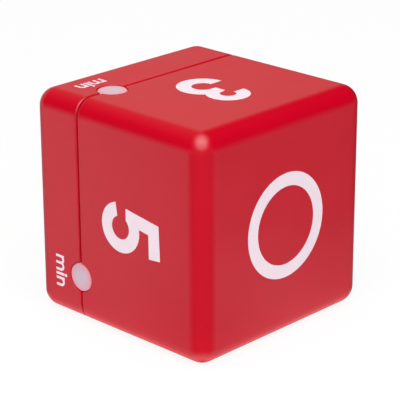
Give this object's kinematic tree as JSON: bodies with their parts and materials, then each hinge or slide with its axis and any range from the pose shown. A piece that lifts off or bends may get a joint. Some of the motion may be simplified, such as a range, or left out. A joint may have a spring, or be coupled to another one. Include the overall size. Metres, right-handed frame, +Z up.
{
  "type": "cube kitchen timer",
  "caption": "Cube-shaped electronic kitchen timer, set by turning the wanted time upward, with indicator lenses on its parting line and a hinged battery door at the rear.",
  "frame": {"origin": "middle of the underside, with the cube standing on a time face as in the picture", "axes": "+X from the rear face to the ring face, +Z up to the upper time face, -Y to the front time face"},
  "size_m": [0.06, 0.06, 0.06],
  "materials": {
    "red_plastic": "satin",
    "lens": "frosted",
    "plated_steel": "plated",
    "contact_metal": "nickel plated",
    "board": "solder mask",
    "resin": "satin",
    "black_plastic": "satin",
    "capacitor_can": "sleeved",
    "resistor": "satin",
    "magnet": "sintered",
    "cell": "plain sleeve",
    "led": "clear",
    "switch_can": "polished",
    "ball_steel": "polished"
  },
  "bodies": {
    "case": {"main_housing": "red_plastic", "rear_case": "red_plastic", "case_screws": "plated_steel", "board_screws": "plated_steel", "circuit_board": "board", "timer_chip": "resin", "crystal": "plated_steel", "capacitor": "capacitor_can", "resistors": "resistor", "buzzer_case": "black_plastic", "buzzer_diaphragm": "plated_steel", "buzzer_magnet": "magnet", "buzzer_base": "black_plastic", "cell_upper": "cell", "cell_lower": "cell", "positive_contact": "contact_metal", "negative_contact": "contact_metal", "bridge_contact": "contact_metal", "negative_spring": "contact_metal", "bridge_spring": "contact_metal", "lens_top": "lens", "lens_front": "lens", "lens_bottom": "lens", "lens_back": "lens", "led_top": "led", "led_front": "led", "led_bottom": "led", "led_back": "led", "tilt_can_top": "switch_can", "tilt_can_front": "switch_can", "tilt_can_bottom": "switch_can", "tilt_can_back": "switch_can", "tilt_base_top": "black_plastic", "tilt_base_front": "black_plastic", "tilt_base_bottom": "black_plastic", "tilt_base_back": "black_plastic"},
    "door": {"battery_door": "red_plastic", "door_latch": "red_plastic"},
    "ball_top": {"tilt_ball_top": "ball_steel"},
    "ball_front": {"tilt_ball_front": "ball_steel"},
    "ball_bottom": {"tilt_ball_bottom": "ball_steel"},
    "ball_back": {"tilt_ball_back": "ball_steel"}
  },
  "joints": [
    {"name": "door_hinge", "type": "hinge", "parent": "case", "child": "door", "pos_m": [-0.0283, 0, 0.03983], "axis": [0, 1, 0], "range_deg": [0, 90], "deforming": ["door_latch"]},
    {"name": "ball_top_roll", "type": "slide", "parent": "case", "child": "ball_top", "axis": [0, 0, 1], "range_m": [0, 0.0024]},
    {"name": "ball_front_roll", "type": "slide", "parent": "case", "child": "ball_front", "axis": [0, -1, 0], "range_m": [-0.0024, 0]},
    {"name": "ball_bottom_roll", "type": "slide", "parent": "case", "child": "ball_bottom", "axis": [0, 0, -1], "range_m": [-0.0024, 0]},
    {"name": "ball_back_roll", "type": "slide", "parent": "case", "child": "ball_back", "axis": [0, 1, 0], "range_m": [-0.0024, 0]}
  ]
}
